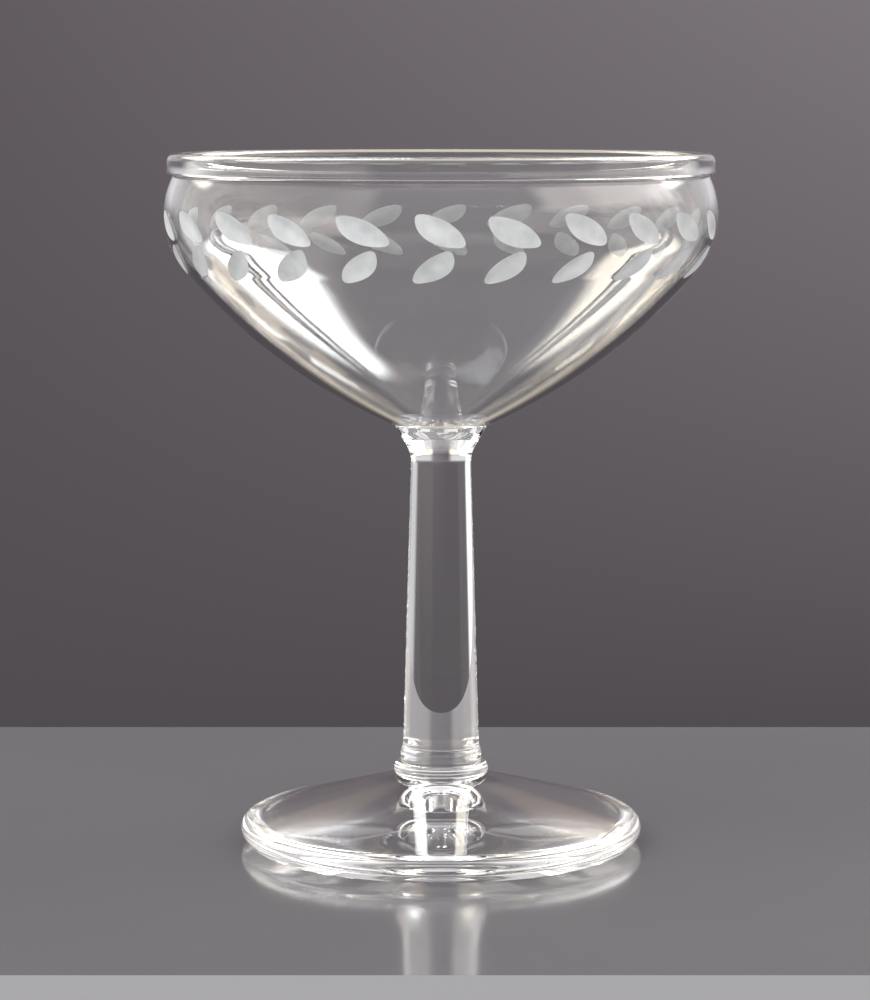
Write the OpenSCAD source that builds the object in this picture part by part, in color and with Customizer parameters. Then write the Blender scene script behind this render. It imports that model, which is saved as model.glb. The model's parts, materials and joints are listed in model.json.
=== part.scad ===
// Coupe glass on a tall solid stem, cut with a laurel band of two rows of leaves.
// Millimetres, +Z up. The origin is the centre of the ring that the foot stands on.
// The glass is built as it is made: a blown bowl, a drawn stem, a collar and a foot,
// each one a solid of revolution, with the leaves then ground into the bowl by a wheel.

/* [Foot] */
// Diameter of the foot
foot_w = 68.5; // [57.5:0.5:80]
// Height of the foot where it carries the collar
foot_h = 11.5; // [8:0.1:16]
// Rounding radius of the foot's edge
foot_edge_r = 2.1; // [1.4:0.1:3]
// Lift of the foot's edge above the table
foot_edge_lift = 0.5; // [0.2:0.1:1.5]
// Outer diameter of the ring that the foot stands on
rest_w = 65; // [50:1:66]
// Width of the band that touches the table
rest_band = 2.5; // [1:0.5:6]
// Depth of the hollow under the foot
hollow_h = 5.4; // [2:0.1:7]
// Radius of the round top of that hollow
hollow_r = 30; // [8:1:40]

/* [Collar] */
// Diameter of the collar at its widest
collar_w = 16.1; // [14.8:0.1:18]
// Height of the collar
collar_h = 2.4; // [1.6:0.1:2.7]
// Radius of the collar's round side
collar_side_r = 1.4; // [1.4:0.1:2.5]
// Height of the collar's widest line above the foot
collar_wide_h = 1.05; // [0.8:0.05:1.3]

/* [Stem] */
// Height of the stem, from the collar to the line where the bowl begins
stem_h = 57.6; // [35:0.2:80]
// Diameter of the band at the stem's foot
stem_band_w = 13.8; // [13.3:0.1:14]
// Height of that band
stem_band_h = 1.5; // [0.8:0.1:3]
// Height of the slope above the band
stem_slope_h = 1.4; // [1:0.1:3]
// Diameter of the shaft at its foot
shaft_low_w = 13; // [12.2:0.1:13.2]
// Diameter of the shaft at its top
shaft_top_w = 10.1; // [8:0.1:11]
// Diameter of the stem where it meets the bowl
cup_seat_w = 15.7; // [14.5:0.1:18]
// Angle of the stem's flare below the bowl, from upright
flare_angle = 30; // [24:1:36]
// Radius of the hollow curve below the flare
flare_r = 6; // [3:0.5:9]
// Radius of the hollow curve above the stem's foot
slope_r = 2; // [1:0.5:3]

/* [Bowl] */
// Height of the bowl, from the stem's flare to the rim
bowl_h = 45.8; // [40:0.2:54]
// Diameter of the bowl at its widest line
belly_w = 93; // [84:0.5:102]
// Drop of the widest line below the rim
belly_drop = 10.2; // [9:0.1:11]
// Radius of the round belly, seen from the side
belly_r = 14.4; // [13:0.1:16]
// Radius of the bowl's long lower curve
wall_r = 100; // [90:1:120]
// Radius of the bowl's round base
base_r = 13.3; // [11:0.1:16]
// Thickness of the bowl's wall
wall_t = 1.25; // [1:0.05:1.6]
// Thickness of the glass at the bottom of the bowl
bottom_t = 3.6; // [2:0.1:5]
// Radius of the round bottom inside the bowl
bottom_r = 20; // [12:0.5:30]

/* [Rim] */
// How much narrower the rim is than the widest line
rim_draw = 1.2; // [0.8:0.1:1.6]
// Height of the rim bead
bead_h = 3.6; // [3:0.1:5]
// Thickness of the rim bead
bead_t = 2.6; // [2.4:0.1:3]
// Rounding radius of the bead's lower corners
bead_corner_r = 0.5; // [0.2:0.1:0.8]

/* [Laurel band] */
// Number of leaves in each row
leaf_count = 24; // [12:1:26]
// Drop of the upper row's leaf centres below the widest line
upper_drop = 1.1; // [0.5:0.1:1.6]
// Drop of the lower row's leaf centres below the widest line
lower_drop = 7.1; // [6.2:0.1:7.4]
// Tilt of the upper leaves from level
upper_tilt = -31; // [-40:1:-25]
// Tilt of the lower leaves from level
lower_tilt = 47; // [35:1:50]
// Turn of the upper row round the bowl
upper_turn = -0.7; // [-7:0.1:7]
// Turn of the lower row round the bowl
lower_turn = -2.1; // [-7:0.1:7]
// Depth of the upper cuts at the middle of a leaf
upper_depth = 0.5; // [0.2:0.05:0.6]
// Depth of the lower cuts at the middle of a leaf
lower_depth = 0.48; // [0.2:0.05:0.6]
// Diameter of the grinding wheel
wheel_w = 120; // [80:5:200]
// Rounding radius of the wheel's edge
wheel_edge_r = 4; // [3:0.2:6]

/* [Hidden] */

// Heights of the joints above the table.
collar_z = foot_h;
stem_z = collar_z + collar_h;
bowl_z = stem_z + stem_h;

// Reach of a wedge that trims an outline.
reach = 2 * wall_r;

// Height of the grinding tool, as a share of the depth of its cut.
tool_share = 1.5;

// Segments of a full turn of the glass, of the wheel, and of a circle in an outline.
turn_steps = 96;
wheel_steps = 360;
outline_steps = 240;
$fn = outline_steps;

// The rim is drawn in a little from the widest line, and rides on it.
rim_w = belly_w - rim_draw;
belly_h = bowl_h - belly_drop;

// The bowl's outline is three arcs that touch without a corner: the round belly, the
// long lower curve, and the round base that is centred on the axis.
cup_seat_r = cup_seat_w / 2;
belly_c = [belly_w / 2 - belly_r, belly_h];
wall_c = crossing(belly_c, wall_r - belly_r, [cup_seat_r, 0], wall_r);
base_c = [0, wall_c.y - sqrt(pow(wall_r - base_r, 2) - pow(wall_c.x, 2))];
base_low = base_c.y - base_r;
belly_turn = heading(belly_c - wall_c);

// Inside, the same three arcs leave the wall at its own thickness round the belly and
// thicker towards the bottom. The long curve's radius follows from touching both others.
inner_belly_r = belly_r - wall_t;
bottom_c = [0, base_low + bottom_t + bottom_r];
inner_wall_r = inner_belly_r + touching(belly_c - bottom_c, unit(belly_turn), inner_belly_r - bottom_r);
inner_wall_c = belly_c - (inner_wall_r - inner_belly_r) * unit(belly_turn);

// A large circle holds two small ones and touches both, the first at a given direction.
// This is how far its centre lies back from the first one's. The gap runs between the
// small circles' centres, and the step is the difference of their radii.
function touching(gap, along, step) = (gap * gap - step * step) / (2 * (step + gap * along));

// The place where two circles cross, on the upper left of the line from one centre to
// the other.
function crossing(c0, r0, c1, r1) =
    let (gap = norm(c1 - c0), along = (c1 - c0) / gap)
    let (foot = (r0 * r0 - r1 * r1 + gap * gap) / (2 * gap))
    c0 + foot * along + sqrt(r0 * r0 - foot * foot) * [along.y, -along.x];

// Direction of a vector, and the unit vector of a direction, in degrees.
function heading(v) = atan2(v.y, v.x);
function unit(angle) = [cos(angle), sin(angle)];

// Radius of the collar's round side at a height above the foot.
function collar_r(h) =
    collar_w / 2 - collar_side_r + sqrt(pow(collar_side_r, 2) - pow(h - collar_wide_h, 2));

// Where a straight line from a point touches a circle, on the side that is chosen.
function touch(point, c, r, side) =
    c + r * unit(heading(point - c) + side * acos(r / norm(point - c)));

// A solid of revolution from an outline to the right of the axis.
module turned() {
    rotate_extrude($fn = turn_steps) children();
}

// A wedge with its point at the origin, between two directions.
module wedge(from, to) {
    polygon([[0, 0], reach * unit(from), reach * unit((from + to) / 2), reach * unit(to)]);
}

// What lies outside an arc, between two directions seen from its centre.
module outside_arc(c, r, from, to) {
    translate(c) difference() {
        wedge(from, to);
        circle(r);
    }
}

// Glass that fills a hollow corner between two straight sides with a tangent arc.
module filled_corner(corner, dir_a, dir_b, r) {
    half = acos(dir_a * dir_b) / 2;
    back = r / tan(half);
    middle = unit(heading(dir_a + dir_b));
    difference() {
        polygon([corner, corner + back * dir_a, corner + back * dir_b]);
        translate(corner + r / sin(half) * middle) circle(r);
    }
}

// Three arcs that touch, filled in to the axis: the belly, the long curve and the base.
// The height is counted from the line where the stem's flare ends.
module cup_outline(round_r, long_c, long_r, low_c, low_r, top) {
    low = low_c.y - low_r;
    difference() {
        intersection() {
            translate(long_c) circle(long_r);
            translate([0, low]) square([belly_w, top - low]);
        }
        outside_arc(belly_c, round_r, belly_turn, 90);
        outside_arc(low_c, low_r, -90, heading(low_c - long_c));
    }
}

module cup_outside(top) {
    cup_outline(belly_r, wall_c, wall_r, base_c, base_r, top);
}

module cup_inside(top) {
    cup_outline(inner_belly_r, inner_wall_c, inner_wall_r, bottom_c, bottom_r, top);
}

// The thick bead round the rim: a round top, level sides and small lower corners.
module bead_outline() {
    round_r = bead_t / 2;
    inner = rim_w / 2 - bead_t;
    low = bowl_h - bead_h;
    translate([inner + round_r, bowl_h - round_r]) circle(round_r);
    translate([inner, low + bead_corner_r]) square([bead_t, bead_h - bead_corner_r - round_r]);
    translate([inner + bead_corner_r, low]) square([bead_t - 2 * bead_corner_r, bead_h - round_r]);
    for (x = [inner + bead_corner_r, inner + bead_t - bead_corner_r])
        translate([x, low + bead_corner_r]) circle(bead_corner_r);
}

// The edge of the grinding wheel where it touches the bowl and leaves a leaf. It is as
// long as a cut of this depth in flat glass, which is longer than one in a round bowl.
module wheel_edge(depth) {
    sweep = 2 * acos(1 - 2 * depth / wheel_w);
    low = wheel_w / 2 - tool_share * depth;
    rotate(180 - sweep / 2) rotate_extrude(angle = sweep, $fn = wheel_steps) intersection() {
        translate([wheel_w / 2 - wheel_edge_r, 0]) circle(wheel_edge_r);
        translate([low, -wheel_edge_r]) square([tool_share * depth, 2 * wheel_edge_r]);
    }
}

// One row of leaf cuts. The wheel stands square to the bowl's surface at each leaf.
module leaf_row(drop, tilt, turn, depth) {
    lean = asin(drop / belly_r);
    for (i = [0 : leaf_count - 1])
        rotate(turn + i * 360 / leaf_count - 90)
            translate([belly_c.x, 0, belly_c.y])
                rotate([0, lean, 0])
                    translate([belly_r - depth + wheel_w / 2, 0, 0])
                        rotate([tilt, 0, 0]) wheel_edge(depth);
}

// The blown bowl with its rim bead and the laurel band.
module bowl() {
    color([0.86, 0.9, 0.92, 0.5]) translate([0, 0, bowl_z]) difference() {
        turned() {
            difference() {
                cup_outside(bowl_h - bead_h + bead_corner_r);
                cup_inside(bowl_h);
            }
            bead_outline();
        }
        leaf_row(upper_drop, upper_tilt, upper_turn, upper_depth);
        leaf_row(lower_drop, lower_tilt, lower_turn, lower_depth);
    }
}

// The solid stem, with a dished top in which the bowl's round base sits.
module stem() {
    band_r = stem_band_w / 2;
    low = [shaft_low_w / 2, stem_band_h + stem_slope_h];
    top = [shaft_top_w / 2, stem_h - (cup_seat_w - shaft_top_w) / 2 / tan(flare_angle)];
    seat = [cup_seat_r, stem_h];
    shaft = unit(heading(top - low));
    slope = unit(heading([band_r, stem_band_h] - low));
    flare = unit(heading(seat - top));
    color([0.84, 0.88, 0.9, 0.5]) translate([0, 0, stem_z]) turned() difference() {
        union() {
            polygon([[0, 0], [band_r, 0], [band_r, stem_band_h], low, top, seat, [0, stem_h]]);
            filled_corner(low, slope, shaft, slope_r);
            filled_corner(top, -shaft, flare, flare_r);
        }
        translate([0, stem_h]) cup_outside(bowl_h);
    }
}

// The round collar that joins the stem to the foot.
module collar() {
    side_c = [collar_w / 2 - collar_side_r, collar_wide_h];
    color([0.82, 0.87, 0.9, 0.5]) translate([0, 0, collar_z]) turned() intersection() {
        union() {
            square([side_c.x, collar_h]);
            translate(side_c) circle(collar_side_r);
        }
        square([collar_w, collar_h]);
    }
}

// The foot, a low cone with a round edge, over a hollow cone with a round top.
module foot() {
    edge_c = [foot_w / 2 - foot_edge_r, foot_edge_lift + foot_edge_r];
    seat = [collar_r(0), foot_h];
    rest = [rest_w / 2, 0];
    hollow_w = rest_w / 2 - rest_band;
    hollow_c = [0, hollow_h - hollow_r];
    slope_end = touch([hollow_w, 0], hollow_c, hollow_r, 1);
    over = touch(seat, edge_c, foot_edge_r, -1);
    under = touch(rest, edge_c, foot_edge_r, 1);
    color([0.84, 0.88, 0.9, 0.5]) turned() difference() {
        union() {
            polygon([[0, 0], rest, under, edge_c, over, seat, [0, foot_h]]);
            translate(edge_c) circle(foot_edge_r);
        }
        polygon([[0, 0], [hollow_w, 0], slope_end, [0, slope_end.y]]);
        translate(hollow_c) circle(hollow_r);
    }
}

bowl();
stem();
collar();
foot();
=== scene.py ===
# %% [markdown]
# # A coupe glass with a band of cut leaves
#
# The object is a clear stemmed glass: a shallow blown bowl with a thick rim, two rows of
# leaves ground into its wall, a tall solid stem, a small collar and a low conical foot.
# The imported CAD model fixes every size. Its meshes are made of flat triangles, which is
# fine for metal but not for clear glass, where each facet would bend the light its own
# way. So every part is turned again here, as on a lathe, from the same arcs, and stands
# in for its CAD node.

# %% Load the frame
import json
import math
import random

import bpy
from mathutils import Matrix, Vector

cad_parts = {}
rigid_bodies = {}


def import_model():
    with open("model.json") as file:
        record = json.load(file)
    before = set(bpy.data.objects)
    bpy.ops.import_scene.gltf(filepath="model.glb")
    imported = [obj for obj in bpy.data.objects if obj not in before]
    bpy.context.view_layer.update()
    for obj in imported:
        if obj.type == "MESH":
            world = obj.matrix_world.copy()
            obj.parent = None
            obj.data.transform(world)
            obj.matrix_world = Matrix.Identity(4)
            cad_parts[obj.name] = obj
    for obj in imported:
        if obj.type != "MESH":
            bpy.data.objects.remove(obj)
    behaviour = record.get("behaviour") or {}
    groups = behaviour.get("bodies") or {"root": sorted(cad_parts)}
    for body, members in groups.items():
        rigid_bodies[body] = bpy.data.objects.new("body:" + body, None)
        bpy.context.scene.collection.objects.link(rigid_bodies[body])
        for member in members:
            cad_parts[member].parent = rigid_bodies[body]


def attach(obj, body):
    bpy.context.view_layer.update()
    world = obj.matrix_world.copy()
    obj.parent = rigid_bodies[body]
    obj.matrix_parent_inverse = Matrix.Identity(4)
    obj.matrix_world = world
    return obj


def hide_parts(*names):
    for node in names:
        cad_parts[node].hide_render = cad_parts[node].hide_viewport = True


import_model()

for stray in [o for o in bpy.data.objects if o.name in ("Cube", "Light", "Camera")]:
    bpy.data.objects.remove(stray)
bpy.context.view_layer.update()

# %% [markdown]
# ## Sizes
#
# All sizes are in millimetres, as on the drawing, and are turned into metres where a
# vertex is made. They could be measured off the CAD meshes, but named numbers are easier
# to read. They are the CAD model's own numbers, apart from two things that look better
# another way: the bottom of the bowl, and the edge of the wheel that cuts the leaves. Each
# is explained at its piece.

# %% Sizes of the glass
MM = 0.001

foot_w, foot_h = 68.5, 11.5
foot_edge_r, foot_edge_lift = 2.1, 0.5
rest_w, rest_band, hollow_h, hollow_r = 65.0, 2.5, 5.4, 30.0

collar_w, collar_h = 16.1, 2.4
collar_side_r, collar_wide_h = 1.4, 1.05

stem_h = 57.6
stem_band_w, stem_band_h, stem_slope_h = 13.8, 1.5, 1.4
shaft_low_w, shaft_top_w, cup_seat_w = 13.0, 10.1, 15.7
flare_angle, flare_r, slope_r = 30.0, 6.0, 2.0

bowl_h, belly_w, belly_drop = 45.8, 93.0, 10.2
belly_r, wall_r, base_r, wall_t = 14.4, 100.0, 13.3, 1.25
bottom_t = 3.6
rim_draw, bead_h, bead_t, bead_corner_r = 1.2, 3.6, 2.6, 0.5

collar_z = foot_h
stem_z = collar_z + collar_h
bowl_z = stem_z + stem_h
top_z = bowl_z + bowl_h
rim_w = belly_w - rim_draw

turn_steps = 360
print(f"Height {top_z:.1f} mm, rim {rim_w:.1f} mm, foot {foot_w:.1f} mm")

# %% [markdown]
# ## Where the bowl's arcs meet
#
# Seen from the side the bowl is three arcs that run into one another without a corner:
# the round belly, the long lower wall and the round base. Two circles touch on the line
# through their centres, so finding the three centres is enough to know where each arc
# starts and ends.


# %% Centres of the arcs
def heading(v):
    """Direction of a vector in the outline's plane, in radians."""
    return math.atan2(v[1], v[0])


def crossing(c0, r0, c1, r1):
    """The upper left one of the two places where two circles cross."""
    c0, c1 = Vector(c0), Vector(c1)
    gap = (c1 - c0).length
    along = (c1 - c0) / gap
    foot = (r0 * r0 - r1 * r1 + gap * gap) / (2 * gap)
    return c0 + foot * along + math.sqrt(r0 * r0 - foot * foot) * Vector((along.y, -along.x))


seat_r = cup_seat_w / 2
belly_c = Vector((belly_w / 2 - belly_r, top_z - belly_drop))
wall_c = crossing(belly_c, wall_r - belly_r, (seat_r, bowl_z), wall_r)
base_c = Vector((0, wall_c.y - math.sqrt((wall_r - base_r) ** 2 - wall_c.x ** 2)))
belly_turn = heading(belly_c - wall_c)
base_turn = heading(base_c - wall_c)
print(f"The wall's arc runs from {math.degrees(base_turn):.1f} to "
      f"{math.degrees(belly_turn):.1f} degrees")

# %% [markdown]
# ## Drawing an outline
#
# A turned shape could be built ring by ring with extrude and scale, or bent out of a
# cylinder. Here its half outline is drawn first, because then each arc keeps its true
# centre and radius: a straight piece is an extrusion of the last vertex, and an arc is
# that vertex spun round the arc's centre. One spin round the glass's axis then gives the
# solid, and merging the doubles closes its seam and its two poles.


# %% A pen that draws with extrude and spin
STRAIGHT_DOWN = -math.pi / 2
JUST_LEFT = math.pi * 0.9999  # a hair short of a half turn, so arc() knows which way
SAME_PLACE = 5e-6  # metres: vertices closer than this are one
TURNED_CREASE = 20  # degrees: a sharper corner between two faces stays an edge


class Outline:
    """A half outline, drawn from one vertex in the plane of X and Z, in millimetres."""

    def __init__(self, name, x, z):
        bpy.ops.object.select_all(action="DESELECT")
        bpy.ops.mesh.primitive_plane_add(size=MM, location=(x * MM, 0, z * MM))
        self.piece = bpy.context.object
        self.piece.name = self.piece.data.name = name
        bpy.ops.object.transform_apply(location=True, rotation=True, scale=True)
        bpy.ops.object.mode_set(mode="EDIT")
        bpy.ops.mesh.merge(type="CENTER")
        self.at = Vector((x, z))

    def line(self, x, z, steps=1):
        step = (Vector((x, z)) - self.at) * MM / steps
        for _ in range(steps):
            bpy.ops.mesh.extrude_region_move(
                TRANSFORM_OT_translate={"value": (step.x, 0, step.y)})
        self.at = Vector((x, z))

    def arc(self, centre, end, steps):
        """Round a centre to a direction in radians, the short way."""
        centre = Vector(centre)
        start = heading(self.at - centre)
        turn = (end - start + math.pi) % (2 * math.pi) - math.pi
        r = (self.at - centre).length
        bpy.ops.mesh.spin(
            steps=steps, angle=turn, center=(centre.x * MM, 0, centre.y * MM), axis=(0, 1, 0))
        self.at = centre + r * Vector((math.cos(end), math.sin(end)))

    def turned(self):
        """Spins the outline round the glass's axis and closes it."""
        bpy.ops.mesh.select_all(action="SELECT")
        bpy.ops.mesh.spin(
            steps=turn_steps, angle=2 * math.pi, center=(0, 0, 0), axis=(0, 0, 1))
        bpy.ops.mesh.select_all(action="SELECT")
        bpy.ops.mesh.remove_doubles(threshold=SAME_PLACE)
        bpy.ops.mesh.normals_make_consistent(inside=False)
        bpy.ops.object.mode_set(mode="OBJECT")
        bpy.ops.object.shade_smooth_by_angle(angle=math.radians(TURNED_CREASE))
        print(f"{self.piece.name}: {len(self.piece.data.polygons)} faces")
        return self.piece


# %% [markdown]
# ## Polished glass
#
# Clear soda-lime glass bends light with an index of about 1.5 and takes almost nothing
# out of it. What tells hand-made glass from a perfect lens is its skin: fire polishing
# leaves it very slightly wavy, so straight reflections wander a little, and handling
# leaves a faint film. Both are made with noise read from Object coordinates: a slow one
# for the waves, stretched round the glass, and a finer one for the film.


# %% Nodes that every finish uses
def new_material(name):
    material = bpy.data.materials.new(name)
    material.use_nodes = True
    nodes, links = material.node_tree.nodes, material.node_tree.links
    return material, nodes, links, nodes["Principled BSDF"]


def noise(nodes, links, scale, stretch=(1, 1, 1), detail=2.0):
    """Noise in Object coordinates. The scale is in waves to the metre."""
    place = nodes.new("ShaderNodeTexCoord")
    mapping = nodes.new("ShaderNodeMapping")
    mapping.inputs["Scale"].default_value = stretch
    pattern = nodes.new("ShaderNodeTexNoise")
    pattern.inputs["Scale"].default_value = scale
    pattern.inputs["Detail"].default_value = detail
    links.new(place.outputs["Object"], mapping.inputs["Vector"])
    links.new(mapping.outputs["Vector"], pattern.inputs["Vector"])
    return pattern.outputs["Fac"]


def remap(nodes, links, source, low, high, start=0.3, end=0.7):
    """Spreads the middle of a pattern over a range."""
    ramp = nodes.new("ShaderNodeMapRange")
    ramp.inputs["From Min"].default_value = start
    ramp.inputs["From Max"].default_value = end
    ramp.inputs["To Min"].default_value = low
    ramp.inputs["To Max"].default_value = high
    links.new(source, ramp.inputs["Value"])
    return ramp.outputs["Result"]


def mixed(nodes, links, share, a, b):
    """A colour between two others, each a colour's numbers or another node's output."""
    tone = nodes.new("ShaderNodeMix")
    tone.data_type = "RGBA"
    links.new(share, tone.inputs["Factor"])
    for name, colour in (("A", a), ("B", b)):
        if isinstance(colour, tuple):
            tone.inputs[name].default_value = (*colour, 1)
        else:
            links.new(colour, tone.inputs[name])
    return tone.outputs["Result"]


def bumped(nodes, links, shader, height, strength, depth):
    """Bends the shader's normals by a height pattern. The depth is in millimetres."""
    bump = nodes.new("ShaderNodeBump")
    bump.inputs["Strength"].default_value = strength
    bump.inputs["Distance"].default_value = depth * MM
    links.new(height, bump.inputs["Height"])
    links.new(bump.outputs["Normal"], shader.inputs["Normal"])


# %% Polished glass
glass_ior = 1.51
film_scale, film_roughness = 220, 0.03


def polished_glass(name, wave_scale, wave_depth, stretch):
    material, nodes, links, shader = new_material(name)
    shader.inputs["Base Color"].default_value = (0.985, 0.99, 0.99, 1)
    shader.inputs["Transmission Weight"].default_value = 1
    shader.inputs["IOR"].default_value = glass_ior
    waves = noise(nodes, links, wave_scale, stretch)
    bumped(nodes, links, shader, waves, strength=1, depth=wave_depth)
    film = noise(nodes, links, film_scale, detail=4)
    film = remap(nodes, links, film, 0.0, film_roughness, start=0.45, end=0.8)
    links.new(film, shader.inputs["Roughness"])
    print(f"{name}: waves {1000 / wave_scale:.0f} mm long and {wave_depth} mm deep")
    return material


bowl_glass = polished_glass("blown glass", 45, 0.014, (1, 1, 1.6))
stem_glass = polished_glass("drawn stem glass", 60, 0.02, (1, 1, 0.25))
collar_glass = polished_glass("pressed collar glass", 120, 0.015, (1, 1, 1))
foot_glass = polished_glass("spun foot glass", 45, 0.03, (1, 1, 1))

# %% [markdown]
# ## Where two pieces are fused
#
# The bowl, stem, collar and foot are joined while they are hot, so there is no air
# between them and nothing to see at the joint. Two closed meshes that touch would each
# show a glass skin there. One way out is to join the meshes, but then the pieces are
# lost. The way chosen here keeps them: the faces that touch get a material of their own
# with an alpha of 0, so light runs on from one piece to the next.


# %% The fused faces
def fused_joint():
    material, *_, shader = new_material("fused joint")
    shader.inputs["Alpha"].default_value = 0
    shader.inputs["Base Color"].default_value = (0.9, 0.92, 0.93, 1)
    return material


joint = fused_joint()
LEVEL = 0.99  # a face whose normal's Z is past this lies level


def fuse(piece, touches):
    """Gives the faces for which touches(centre in mm, normal) is true to the fused joint."""
    mesh = piece.data
    mesh.materials.append(joint)
    chosen = [f for f in mesh.polygons if touches(f.center / MM, f.normal)]
    for f in chosen:
        f.material_index = 1
    print(f"{piece.name}: {len(chosen)} faces are fused")


# %% [markdown]
# ## The bowl
#
# The bowl is one closed skin: up the outside from the round base, round the thick bead
# of the rim, and down the inside to a small flat floor. The bead has a round top, upright
# sides and a small sharp step under it, which the photograph shows as a dark and a bright
# line round the rim. The wall could grow thicker towards the bottom, as in the CAD model,
# but thick glass there shows a stack of mirror images. A wall of one thickness down to a
# flat floor shows the single bright ellipse of the photograph.

# %% The bowl's outline
def side_of(centre, r, z):
    """Radius from the axis of an arc's right side at a height."""
    return centre.x + math.sqrt(r * r - (z - centre.y) ** 2)


def bowl():
    low = top_z - bead_h
    bead_r = bead_t / 2
    outer, inner = rim_w / 2, rim_w / 2 - bead_t
    pen = Outline("bowl_glass", 0, base_c.y - base_r)
    pen.arc(base_c, base_turn, steps=12)
    pen.arc(wall_c, belly_turn, steps=44)
    wall_top = heading((side_of(belly_c, belly_r, low) - belly_c.x, low - belly_c.y))
    pen.arc(belly_c, wall_top, steps=34)
    pen.line(outer - bead_corner_r, low)
    pen.arc((outer - bead_corner_r, low + bead_corner_r), 0, steps=6)
    pen.line(outer, top_z - bead_r, steps=2)
    bead_c = (outer - bead_r, top_z - bead_r)
    pen.arc(bead_c, math.pi / 2, steps=12)
    pen.arc(bead_c, JUST_LEFT, steps=12)
    meet = belly_c.y + math.sqrt((belly_r - wall_t) ** 2 - (inner - belly_c.x) ** 2)
    pen.line(inner, meet, steps=2)
    pen.arc(belly_c, belly_turn, steps=34)
    floor_z = base_c.y - base_r + bottom_t
    floor_r = side_of(wall_c, wall_r - wall_t, floor_z)
    floor_turn = heading((floor_r - wall_c.x, floor_z - wall_c.y))
    pen.arc(wall_c, floor_turn, steps=44)
    pen.line(0, floor_z, steps=6)
    return pen.turned()


bowl_piece = bowl()
bowl_piece.data.materials.append(bowl_glass)
fuse(bowl_piece, lambda c, n: c.z < bowl_z and n.z < 0)

# %% [markdown]
# ## The cut leaves
#
# A leaf is what the edge of a spinning stone wheel leaves in a curved wall: long, pointed
# at both ends and deepest in the middle. It could be painted on with a mask, but a real
# hollow catches the light on its rim and bends what is behind it. So a short piece of the
# wheel's edge is made once, copied to each leaf and subtracted. The CAD model's wheel has
# a round edge. This one has a blunt V with a rounded tip, which gives the more pointed
# leaves of the photograph. The cutter works by eye, so each copy is off by a little, from
# a fixed list of chance, and the rows sit a little lower towards the back.

# %% Sizes of the cuts
leaf_count = 24
wheel_w = 120.0
wheel_tip_r, wheel_tip_angle = 3.0, 150.0
wheel_rim_depth, wheel_reach = 0.8, 5.0  # how much of the wheel is made, mm and degrees
wheel_parts = 24  # flat pieces along that reach
wander = 0.35  # mm, how much lower the rows sit at the sides, and twice that at the back
by_eye = dict(drop=0.12, tilt=1.6, lean=1, turn=0.25, depth=0.02)  # spread of each
chance_list = 24
LEAF_CREASE = 9  # degrees: the rim of a leaf is less sharp than a turned corner
rows = {  # drop below the belly's widest, depth in mm, and the rest in degrees
    "upper": dict(drop=1.1, tilt=-31, lean=3, turn=-0.7, depth=0.5),
    "lower": dict(drop=7.1, tilt=47, lean=3, turn=-2.1, depth=0.48),
}

# %% [markdown]
# ## Ground glass
#
# The stone leaves the glass matt, and on this one nobody polished it afterwards. Rough
# clear glass would do for that, but a ground surface sends most light back before it gets
# through, so most of the finish is a matt pale grey and only a fifth of it lets light
# pass. A cloudy pattern mixes two greys and changes the gloss with them, and a fine grit
# bends the surface.


# %% Ground glass for the cuts
def ground_glass():
    """Matt and cloudy, with a fine grit that the stone leaves."""
    material, nodes, links, shader = new_material("ground leaf glass")
    shader.inputs["IOR"].default_value = glass_ior
    shader.inputs["Transmission Weight"].default_value = 0.2
    cloudy = noise(nodes, links, 300, detail=3)
    share = remap(nodes, links, cloudy, 0, 1)
    tint = mixed(nodes, links, share, (0.62, 0.63, 0.64), (0.82, 0.83, 0.83))
    links.new(tint, shader.inputs["Base Color"])
    links.new(remap(nodes, links, cloudy, 0.42, 0.62), shader.inputs["Roughness"])
    grit = noise(nodes, links, 4000, detail=3)
    bumped(nodes, links, shader, grit, strength=0.6, depth=0.03)
    return material


leaf_glass = ground_glass()


# %% The wheel's edge
FINE_PLACE = 1e-7  # metres, for the small faces of the wheel


def wheel_edge():
    """A short piece of the wheel's edge. The wheel's centre is at the origin."""
    reach, side = math.radians(wheel_reach), math.radians(90 - wheel_tip_angle / 2)
    tip_c = wheel_w / 2 - wheel_tip_r
    low = Vector((wheel_w / 2 - wheel_rim_depth, 0))
    corner = Vector((tip_c + wheel_tip_r * math.cos(side), wheel_tip_r * math.sin(side)))
    low.y = corner.y + (corner.x - low.x) / math.tan(side)
    pen = Outline("wheel edge", low.x, -low.y)
    pen.line(corner.x, -corner.y, steps=4)
    pen.arc((tip_c, 0), side, steps=10)
    pen.line(low.x, low.y, steps=4)
    pen.line(low.x, -low.y)
    bpy.ops.mesh.select_all(action="SELECT")
    bpy.ops.mesh.remove_doubles(threshold=FINE_PLACE)
    bpy.ops.mesh.edge_face_add()
    bpy.ops.transform.rotate(
        value=math.pi + reach, orient_axis="Z", center_override=(0, 0, 0))
    bpy.ops.mesh.spin(steps=wheel_parts, angle=-2 * reach, center=(0, 0, 0), axis=(0, 0, 1))
    bpy.ops.mesh.select_all(action="SELECT")
    bpy.ops.mesh.remove_doubles(threshold=FINE_PLACE)
    bpy.ops.mesh.normals_make_consistent(inside=False)
    bpy.ops.object.mode_set(mode="OBJECT")
    size = [round(length / MM, 2) for length in pen.piece.dimensions]
    print(f"Wheel edge: {len(pen.piece.data.polygons)} faces, {size} mm")
    return pen.piece


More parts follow.
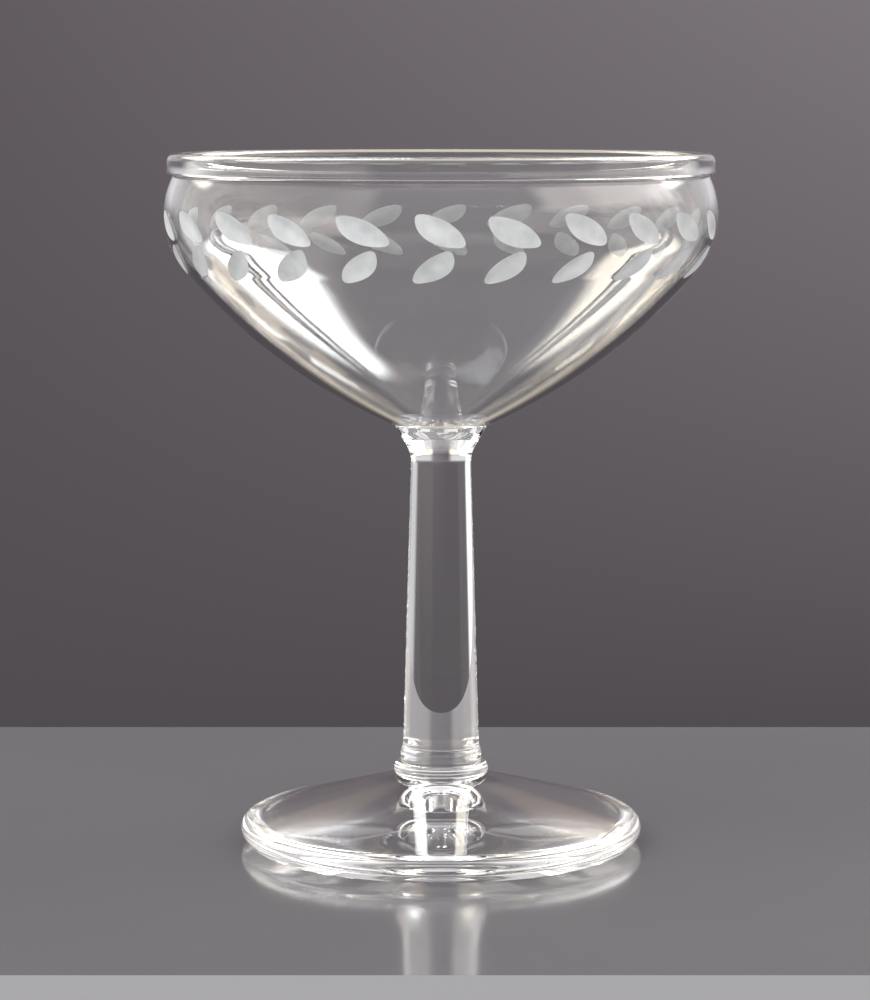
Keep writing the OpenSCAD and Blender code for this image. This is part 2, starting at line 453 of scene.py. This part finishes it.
# %% Set the wheel to every leaf and cut
def wheel_place(drop, tilt, lean, turn, depth):
    """Where the wheel's centre stands for one leaf. Tilt turns the leaf on the surface
    of the belly, and lean lays the wheel over, which makes one side of it wider."""
    slope = math.asin(drop / belly_r)
    return (
        Matrix.Rotation(math.radians(turn - 90), 4, "Z")
        @ Matrix.Translation((belly_c.x * MM, 0, belly_c.y * MM))
        @ Matrix.Rotation(slope, 4, "Y")
        @ Matrix.Translation(((belly_r - depth) * MM, 0, 0))
        @ Matrix.Rotation(math.radians(tilt), 4, "X")
        @ Matrix.Rotation(math.radians(lean), 4, "Y")
        @ Matrix.Translation((wheel_w / 2 * MM, 0, 0))
    )


def cut_leaves(bowl_piece):
    bowl_piece.data.materials.append(leaf_glass)
    chance = random.Random(chance_list)
    edge = wheel_edge()
    for material in bowl_piece.data.materials:
        edge.data.materials.append(material)
    edge.data.polygons.foreach_set("material_index", [2] * len(edge.data.polygons))
    copies = []
    for row in rows.values():
        for i in range(leaf_count):
            copy = edge.copy()
            copy.data = edge.data.copy()
            bpy.context.collection.objects.link(copy)
            turn = row["turn"] + i * 360 / leaf_count
            lower = wander * (1 - math.cos(math.radians(turn)))
            copy.matrix_world = wheel_place(
                row["drop"] + lower + chance.gauss(0, by_eye["drop"]),
                row["tilt"] + chance.gauss(0, by_eye["tilt"]),
                row["lean"] + chance.gauss(0, by_eye["lean"]),
                turn + chance.gauss(0, by_eye["turn"]),
                row["depth"] + chance.gauss(0, by_eye["depth"]))
            copies.append(copy)
    bpy.data.objects.remove(edge)
    bpy.ops.object.select_all(action="DESELECT")
    for copy in copies:
        copy.select_set(True)
    bpy.context.view_layer.objects.active = copies[0]
    bpy.ops.object.transform_apply(location=True, rotation=True, scale=True)
    bpy.ops.object.join()
    cutter = bpy.context.object
    bpy.ops.object.select_all(action="DESELECT")
    bowl_piece.select_set(True)
    bpy.context.view_layer.objects.active = bowl_piece
    cut = bowl_piece.modifiers.new("leaves", "BOOLEAN")
    cut.operation = "DIFFERENCE"
    cut.solver = "MANIFOLD"
    cut.object = cutter
    bpy.ops.object.modifier_apply(modifier=cut.name)
    bpy.data.objects.remove(cutter)
    bpy.ops.object.shade_smooth_by_angle(angle=math.radians(LEAF_CREASE))
    names = [m.name for m in bowl_piece.data.materials]
    cuts = sum(names[f.material_index] == leaf_glass.name for f in bowl_piece.data.polygons)
    print(f"Bowl: {len(bowl_piece.data.polygons)} faces, {cuts} of them in the leaves")


cut_leaves(bowl_piece)

# %% [markdown]
# ## The stem
#
# The stem is drawn out of solid glass. It widens slowly downwards, ends in a small band,
# and flares at its top into a dish in which the bowl's round base sits. The two hollow
# curves, above the band and below the flare, are arcs that touch the straight sides.


# %% The stem's outline
def hollow_curve(pen, corner, before, after, r, steps):
    """A line to a hollow corner, rounded with an arc that touches both sides."""
    into, out = (before - corner).normalized(), (after - corner).normalized()
    half = into.angle(out) / 2
    start = corner + r / math.tan(half) * into
    end = corner + r / math.tan(half) * out
    centre = corner + r / math.sin(half) * (into + out).normalized()
    pen.line(start.x, start.y, steps=4)
    pen.arc(centre, heading(end - centre), steps)


def stem():
    band = Vector((stem_band_w / 2, stem_z + stem_band_h))
    low = Vector((shaft_low_w / 2, stem_z + stem_band_h + stem_slope_h))
    flare = (cup_seat_w - shaft_top_w) / 2 / math.tan(math.radians(flare_angle))
    top = Vector((shaft_top_w / 2, bowl_z - flare))
    seat = Vector((seat_r, bowl_z))
    pen = Outline("stem_glass", 0, stem_z)
    pen.line(band.x, stem_z, steps=8)
    pen.line(band.x, band.y, steps=2)
    hollow_curve(pen, low, band, top, slope_r, steps=8)
    hollow_curve(pen, top, low, seat, flare_r, steps=12)
    pen.line(seat.x, seat.y, steps=6)
    pen.arc(wall_c, base_turn, steps=4)
    pen.arc(base_c, STRAIGHT_DOWN, steps=12)
    return pen.turned()


stem_piece = stem()
stem_piece.data.materials.append(stem_glass)
in_the_dish, looks_up = bowl_z - 3, 0.3  # the dish lies above this, and faces up
fuse(stem_piece, lambda c, n: (c.z > in_the_dish and n.z > looks_up) or n.z < -LEVEL)

# %% [markdown]
# ## The collar and the foot
#
# The collar is a small round ring of glass that the stem stands on. The foot is a low
# cone with a round edge, hollow underneath, that stands on a narrow flat ring. The cone
# and the underside both touch the circle of the edge, so the touching points are worked
# out first.


# %% Their outlines
def collar_side(h):
    """Radius of the collar's round side at a height above the foot."""
    return collar_w / 2 - collar_side_r + math.sqrt(collar_side_r ** 2 - (h - collar_wide_h) ** 2)


def touch(point, centre, r, side):
    """Direction from a circle's centre to where a line from a point touches it."""
    gap = Vector(point) - centre
    return heading(gap) + side * math.acos(r / gap.length)


def collar():
    centre = Vector((collar_w / 2 - collar_side_r, collar_z + collar_wide_h))
    pen = Outline("collar_glass", 0, collar_z)
    pen.line(collar_side(0), collar_z, steps=8)
    top_edge = Vector((collar_side(collar_h), collar_z + collar_h))
    pen.arc(centre, 0, steps=8)
    pen.arc(centre, heading(top_edge - centre), steps=10)
    pen.line(stem_band_w / 2, collar_z + collar_h)
    pen.line(0, collar_z + collar_h, steps=8)
    return pen.turned()


def foot():
    centre = Vector((foot_w / 2 - foot_edge_r, foot_edge_lift + foot_edge_r))
    hollow_w = rest_w / 2 - rest_band
    hollow_c = Vector((0, hollow_h - hollow_r))
    under = touch((rest_w / 2, 0), centre, foot_edge_r, 1)
    over = touch((collar_side(0), foot_h), centre, foot_edge_r, -1)
    at_under = centre + foot_edge_r * Vector((math.cos(under), math.sin(under)))
    pen = Outline("foot_glass", 0, hollow_h)
    pen.arc(hollow_c, touch((hollow_w, 0), hollow_c, hollow_r, 1), steps=12)
    pen.line(hollow_w, 0, steps=30)
    pen.line(rest_w / 2, 0, steps=3)
    pen.line(at_under.x, at_under.y, steps=2)
    pen.arc(centre, 0, steps=10)
    pen.arc(centre, over, steps=12)
    pen.line(collar_side(0), foot_h, steps=30)
    pen.line(0, foot_h, steps=6)
    return pen.turned()


collar_piece = collar()
collar_piece.data.materials.append(collar_glass)
fuse(collar_piece, lambda c, n: n.z < -LEVEL or (n.z > LEVEL and c.xy.length < stem_band_w / 2))
foot_piece = foot()
foot_piece.data.materials.append(foot_glass)
fuse(foot_piece, lambda c, n: n.z > LEVEL)

# %% [markdown]
# ## In place of the CAD nodes
#
# Each turned piece takes over from the CAD node of the same name: it rides on the root
# body and hides the faceted mesh.

# %% Put the pieces in place of the CAD nodes
pieces = {"bowl": bowl_piece, "stem": stem_piece, "collar": collar_piece, "foot": foot_piece}
for node, piece in pieces.items():
    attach(piece, "root")
    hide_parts(node)
    print(f"{piece.name} stands in for {node}")

# %% [markdown]
# ## The shelf
#
# The glass stands on a plain grey shelf that is glossy enough to mirror it softly. It is a
# cube, scaled flat, with faint smudges in its tone and its gloss, and a paler front edge,
# which the photograph shows along its bottom.


# %% Shelf
def shelf_material():
    """Plain grey with faint smudges, a little glossy."""
    material, nodes, links, shader = new_material("shelf")
    cloudy = noise(nodes, links, 9, detail=3)
    share = remap(nodes, links, cloudy, 0, 1)
    tone = mixed(nodes, links, share, (0.184, 0.177, 0.184), (0.200, 0.193, 0.200))
    links.new(tone, shader.inputs["Base Color"])
    links.new(remap(nodes, links, cloudy, 0.07, 0.13), shader.inputs["Roughness"])
    return material


def edge_material():
    """The shelf's front edge, which is matt and paler."""
    material, *_, shader = new_material("shelf edge")
    shader.inputs["Base Color"].default_value = (0.36, 0.355, 0.365, 1)
    shader.inputs["Roughness"].default_value = 0.6
    return material


def slab(name, front, back, half_width, top, thickness, material):
    bpy.ops.object.select_all(action="DESELECT")
    middle = (0, (front + back) / 2, top - thickness / 2)
    bpy.ops.mesh.primitive_cube_add(size=1, location=middle)
    bpy.context.object.scale = (2 * half_width, back - front, thickness)
    bpy.ops.object.transform_apply(location=True, rotation=True, scale=True)
    piece = bpy.context.object
    piece.name = name
    piece.data.materials.append(material)
    return piece


shelf = slab(
    "shelf", front=-0.0897, back=0.103, half_width=0.7, top=-0.00002, thickness=0.008,
    material=shelf_material())
shelf.data.materials.append(edge_material())
for face in shelf.data.polygons:
    faces_camera = face.normal.y < -0.5
    face.material_index = int(faces_camera)
print("Shelf:", [round(side, 4) for side in shelf.dimensions], "m")

# %% [markdown]
# ## The wall and the soft panels
#
# Clear glass has no colour of its own: it shows what is behind and beside it. So the wall
# behind is a mid grey that makes its bright edges readable, and soft bright panels stand
# to the sides, above and below, where the photograph's highlights come from. They could be
# area lamps, but those have hard edges and need a place in the room. Here they are parts
# of the world's colour, each a span of turn and height with faded edges. The camera sees
# the wall alone. Reflections and rays through glass see the wall and the panels. Rays from
# matt surfaces get a plain white, so that what is lit renders about as its colour is
# written.


# %% The world's colour as a sum over directions
class Sky:
    """Builds the colour of the world as a sum over directions."""

    def __init__(self, plain_light):
        world = bpy.data.worlds.new("wall and panels")
        bpy.context.scene.world = world
        world.use_nodes = True
        self.nodes, self.links = world.node_tree.nodes, world.node_tree.links
        self.plain_light = plain_light
        self.seen = self.nodes["Background"]
        direction = self.nodes.new("ShaderNodeTexCoord")
        split = self.nodes.new("ShaderNodeSeparateXYZ")
        self.links.new(direction.outputs["Generated"], split.inputs["Vector"])
        self.x, self.y, self.z = (split.outputs[axis] for axis in "XYZ")
        self.turn = self.math("ARCTAN2", self.x, self.y)
        self.rise = self.math("ARCSINE", self.z)
        self.colour = None

    def math(self, operation, *values):
        node = self.nodes.new("ShaderNodeMath")
        node.operation = operation
        for i, value in enumerate(values):
            if isinstance(value, (int, float)):
                node.inputs[i].default_value = value
            else:
                self.links.new(value, node.inputs[i])
        return node.outputs["Value"]

    def span(self, angle, start, end, blur):
        """1 from a start to an end angle, in degrees, fading to 0 across each edge."""
        off = self.math("SUBTRACT", angle, math.radians((start + end) / 2))
        off = self.math("ABSOLUTE", self.math("WRAP", off, math.pi, -math.pi))
        fade = self.nodes.new("ShaderNodeMapRange")
        fade.interpolation_type = "SMOOTHSTEP"
        fade.inputs["From Min"].default_value = math.radians((end - start + blur) / 2)
        fade.inputs["From Max"].default_value = math.radians((end - start - blur) / 2)
        self.links.new(off, fade.inputs["Value"])
        return fade.outputs["Result"]

    def mixed(self, share, a, b):
        return mixed(self.nodes, self.links, share, a, b)

    def wall(self, left, right, low, front):
        """A wall that goes from one colour to the other and to a third one low down, and
        a fourth one in front."""
        # The starts and ends are shares of a direction's full length along each axis.
        across, down, round_to = (self.nodes.new("ShaderNodeMapRange") for _ in range(3))
        for blend, source, start, end in (
            (across, self.x, -0.14, 0.14),
            (down, self.z, 0.03, -0.19),
            (round_to, self.y, 0.5, -0.5),
        ):
            blend.inputs["From Min"].default_value = start
            blend.inputs["From Max"].default_value = end
            self.links.new(source, blend.inputs["Value"])
        self.backdrop = self.mixed(across.outputs["Result"], left, right)
        self.backdrop = self.mixed(down.outputs["Result"], self.backdrop, low)
        self.colour = self.mixed(round_to.outputs["Result"], self.backdrop, front)

    def panel(self, turn, rise, brightness, colour=(1, 1, 1), blur=14):
        """A soft panel between two turns, in degrees from straight behind to the right,
        and two heights. A brightness of 1 is white, and adds to what is there."""
        shape = self.math(
            "MULTIPLY", self.span(self.turn, *turn, blur), self.span(self.rise, *rise, blur))
        light = self.mixed(shape, (0, 0, 0), tuple(brightness * c for c in colour))
        total = self.nodes.new("ShaderNodeVectorMath")
        total.operation = "ADD"
        self.links.new(self.colour, total.inputs[0])
        self.links.new(light, total.inputs[1])
        self.colour = total.outputs["Vector"]

    def finish(self):
        """The camera sees the wall, glass sees wall and panels, the rest plain light."""
        path = self.nodes.new("ShaderNodeLightPath")
        seen = self.mixed(path.outputs["Is Camera Ray"], self.colour, self.backdrop)
        self.links.new(seen, self.seen.inputs["Color"])
        lamp = self.nodes.new("ShaderNodeBackground")
        lamp.inputs["Color"].default_value = (1, 1, 1, 1)
        lamp.inputs["Strength"].default_value = self.plain_light
        sharp = self.math(
            "MAXIMUM", path.outputs["Is Glossy Ray"], path.outputs["Is Transmission Ray"])
        sharp = self.math("MAXIMUM", sharp, path.outputs["Is Camera Ray"])
        mix = self.nodes.new("ShaderNodeMixShader")
        before_matt = self.math("GREATER_THAN", sharp, path.outputs["Diffuse Depth"])
        self.links.new(before_matt, mix.inputs["Fac"])
        self.links.new(lamp.outputs["Background"], mix.inputs[1])
        self.links.new(self.seen.outputs["Background"], mix.inputs[2])
        self.links.new(mix.outputs["Shader"], self.nodes["World Output"].inputs["Surface"])


# %% Hang the panels
white, daylight = (1, 1, 1), (0.97, 0.99, 1.0)
panels = {  # turn, rise, brightness, colour, blur
    "cool window on the right": ((28, 64), (20, 58), 10.5, daylight, 7),
    "warm strip on the right": ((12, 27), (18, 33), 1.5, (1.0, 0.82, 0.60), 6),
    "warm strip on the left": ((-25, -12), (18, 33), 1.3, (1.0, 0.84, 0.62), 6),
    "wall on the right": ((64, 136), (12, 42), 3.0, (1.0, 0.93, 0.88), 12),
    "cream window on the left": ((-58, -28), (18, 48), 7.0, (1.0, 0.92, 0.78), 7),
    "haze on the right": ((46, 112), (-4, 62), 1.0, (1.0, 0.94, 0.88), 10),
    "low haze on the right": ((40, 112), (-26, -4), 0.45, white, 8),
    "haze on the left": ((-150, -45), (-4, 40), 1.3, (1.0, 0.95, 0.90), 10),
    "low light on the left": ((-72, -43), (-26, -4), 1.3, white, 8),
    "behind, to the left": ((-45, -12), (0, 17), 0.6, white, 8),
    "behind, to the right": ((12, 45), (0, 17), 0.5, white, 8),
    "ceiling": ((-200, 200), (44, 110), 0.7, white, 14),
    "room behind the camera": ((-225, -135), (10, 60), 0.6, white, 30),
    "warm floor": ((-45, 45), (-62, -27), 0.6, (1.0, 0.88, 0.70), 10),
    "warm floor, right end": ((27, 45), (-62, -27), 1.4, (1.0, 0.88, 0.70), 10),
    "warm floor, left end": ((-45, -27), (-62, -27), 1.4, (1.0, 0.88, 0.70), 10),
}
sky = Sky(plain_light=1.0)
sky.wall(
    left=(0.120, 0.105, 0.118), right=(0.205, 0.185, 0.200),
    low=(0.080, 0.071, 0.078), front=(0.42, 0.41, 0.41))
for turn, rise, brightness, colour, blur in panels.values():
    sky.panel(turn, rise, brightness, colour, blur)
sky.finish()
print(f"World: {len(panels)} panels, {len(sky.nodes)} nodes")

# %% [markdown]
# ## A lamp
#
# The plain light from all sides would leave the matt leaves flat. One big soft lamp from
# the upper left gives them and the shelf some shape. Its energy is worked out from the
# brightness of its face, where 1 is white, so its size can change without its level.


# %% Soft lamp
def soft_lamp(place, aim, size, brightness):
    bpy.ops.object.select_all(action="DESELECT")
    bpy.ops.object.light_add(type="AREA", location=place)
    lamp = bpy.context.object
    towards = Vector(aim) - Vector(place)
    lamp.rotation_euler = towards.to_track_quat("-Z", "Y").to_euler()
    lamp.data.shape = "DISK"
    lamp.data.size = size
    lamp.data.energy = brightness * math.pi * math.pi * (size / 2) ** 2
    lamp.visible_camera = lamp.visible_glossy = lamp.visible_transmission = False
    print(f"Lamp: {lamp.data.energy:.2f} W over {size} m")
    return lamp


soft_lamp(place=(-0.55, -0.45, 0.75), aim=(0, 0, 0.08), size=0.6, brightness=2.4)

# %% [markdown]
# ## Camera
#
# The camera looks at the glass from a little above, as the photograph does: 56 cm away,
# 7 degrees down. Its place and lens were fitted to the widths and heights of the rim,
# the belly, the collar and the foot.


# %% Camera
camera_away, camera_h, camera_down = 0.56017, 0.1258, 6.835
focal_px, picture_h_px, picture_right = 3323.9, 1000, 0.006


def camera():
    bpy.ops.object.select_all(action="DESELECT")
    bpy.ops.object.camera_add(
        location=(0, -camera_away, camera_h), rotation=(math.radians(90 - camera_down), 0, 0))
    view = bpy.context.object
    view.data.sensor_width = 36
    view.data.lens = focal_px * view.data.sensor_width / picture_h_px
    view.data.shift_x = -picture_right
    view.data.clip_start = 0.01
    print(f"Camera: {view.data.lens:.1f} mm lens")
    return view


bpy.context.scene.camera = camera()
bpy.context.scene.view_settings.view_transform = "Standard"

# %% [markdown]
# ## Bounces
#
# Inside a foot like this one light is reflected many times before it gets out. A path
# that is cut off early comes out black, so the limits are raised from their defaults.

# %% Let light run on inside the glass
bounces = 32
cycles = bpy.context.scene.cycles
cycles.max_bounces = cycles.glossy_bounces = bounces
cycles.transmission_bounces = cycles.transparent_max_bounces = bounces
print("Bounces:", bounces)
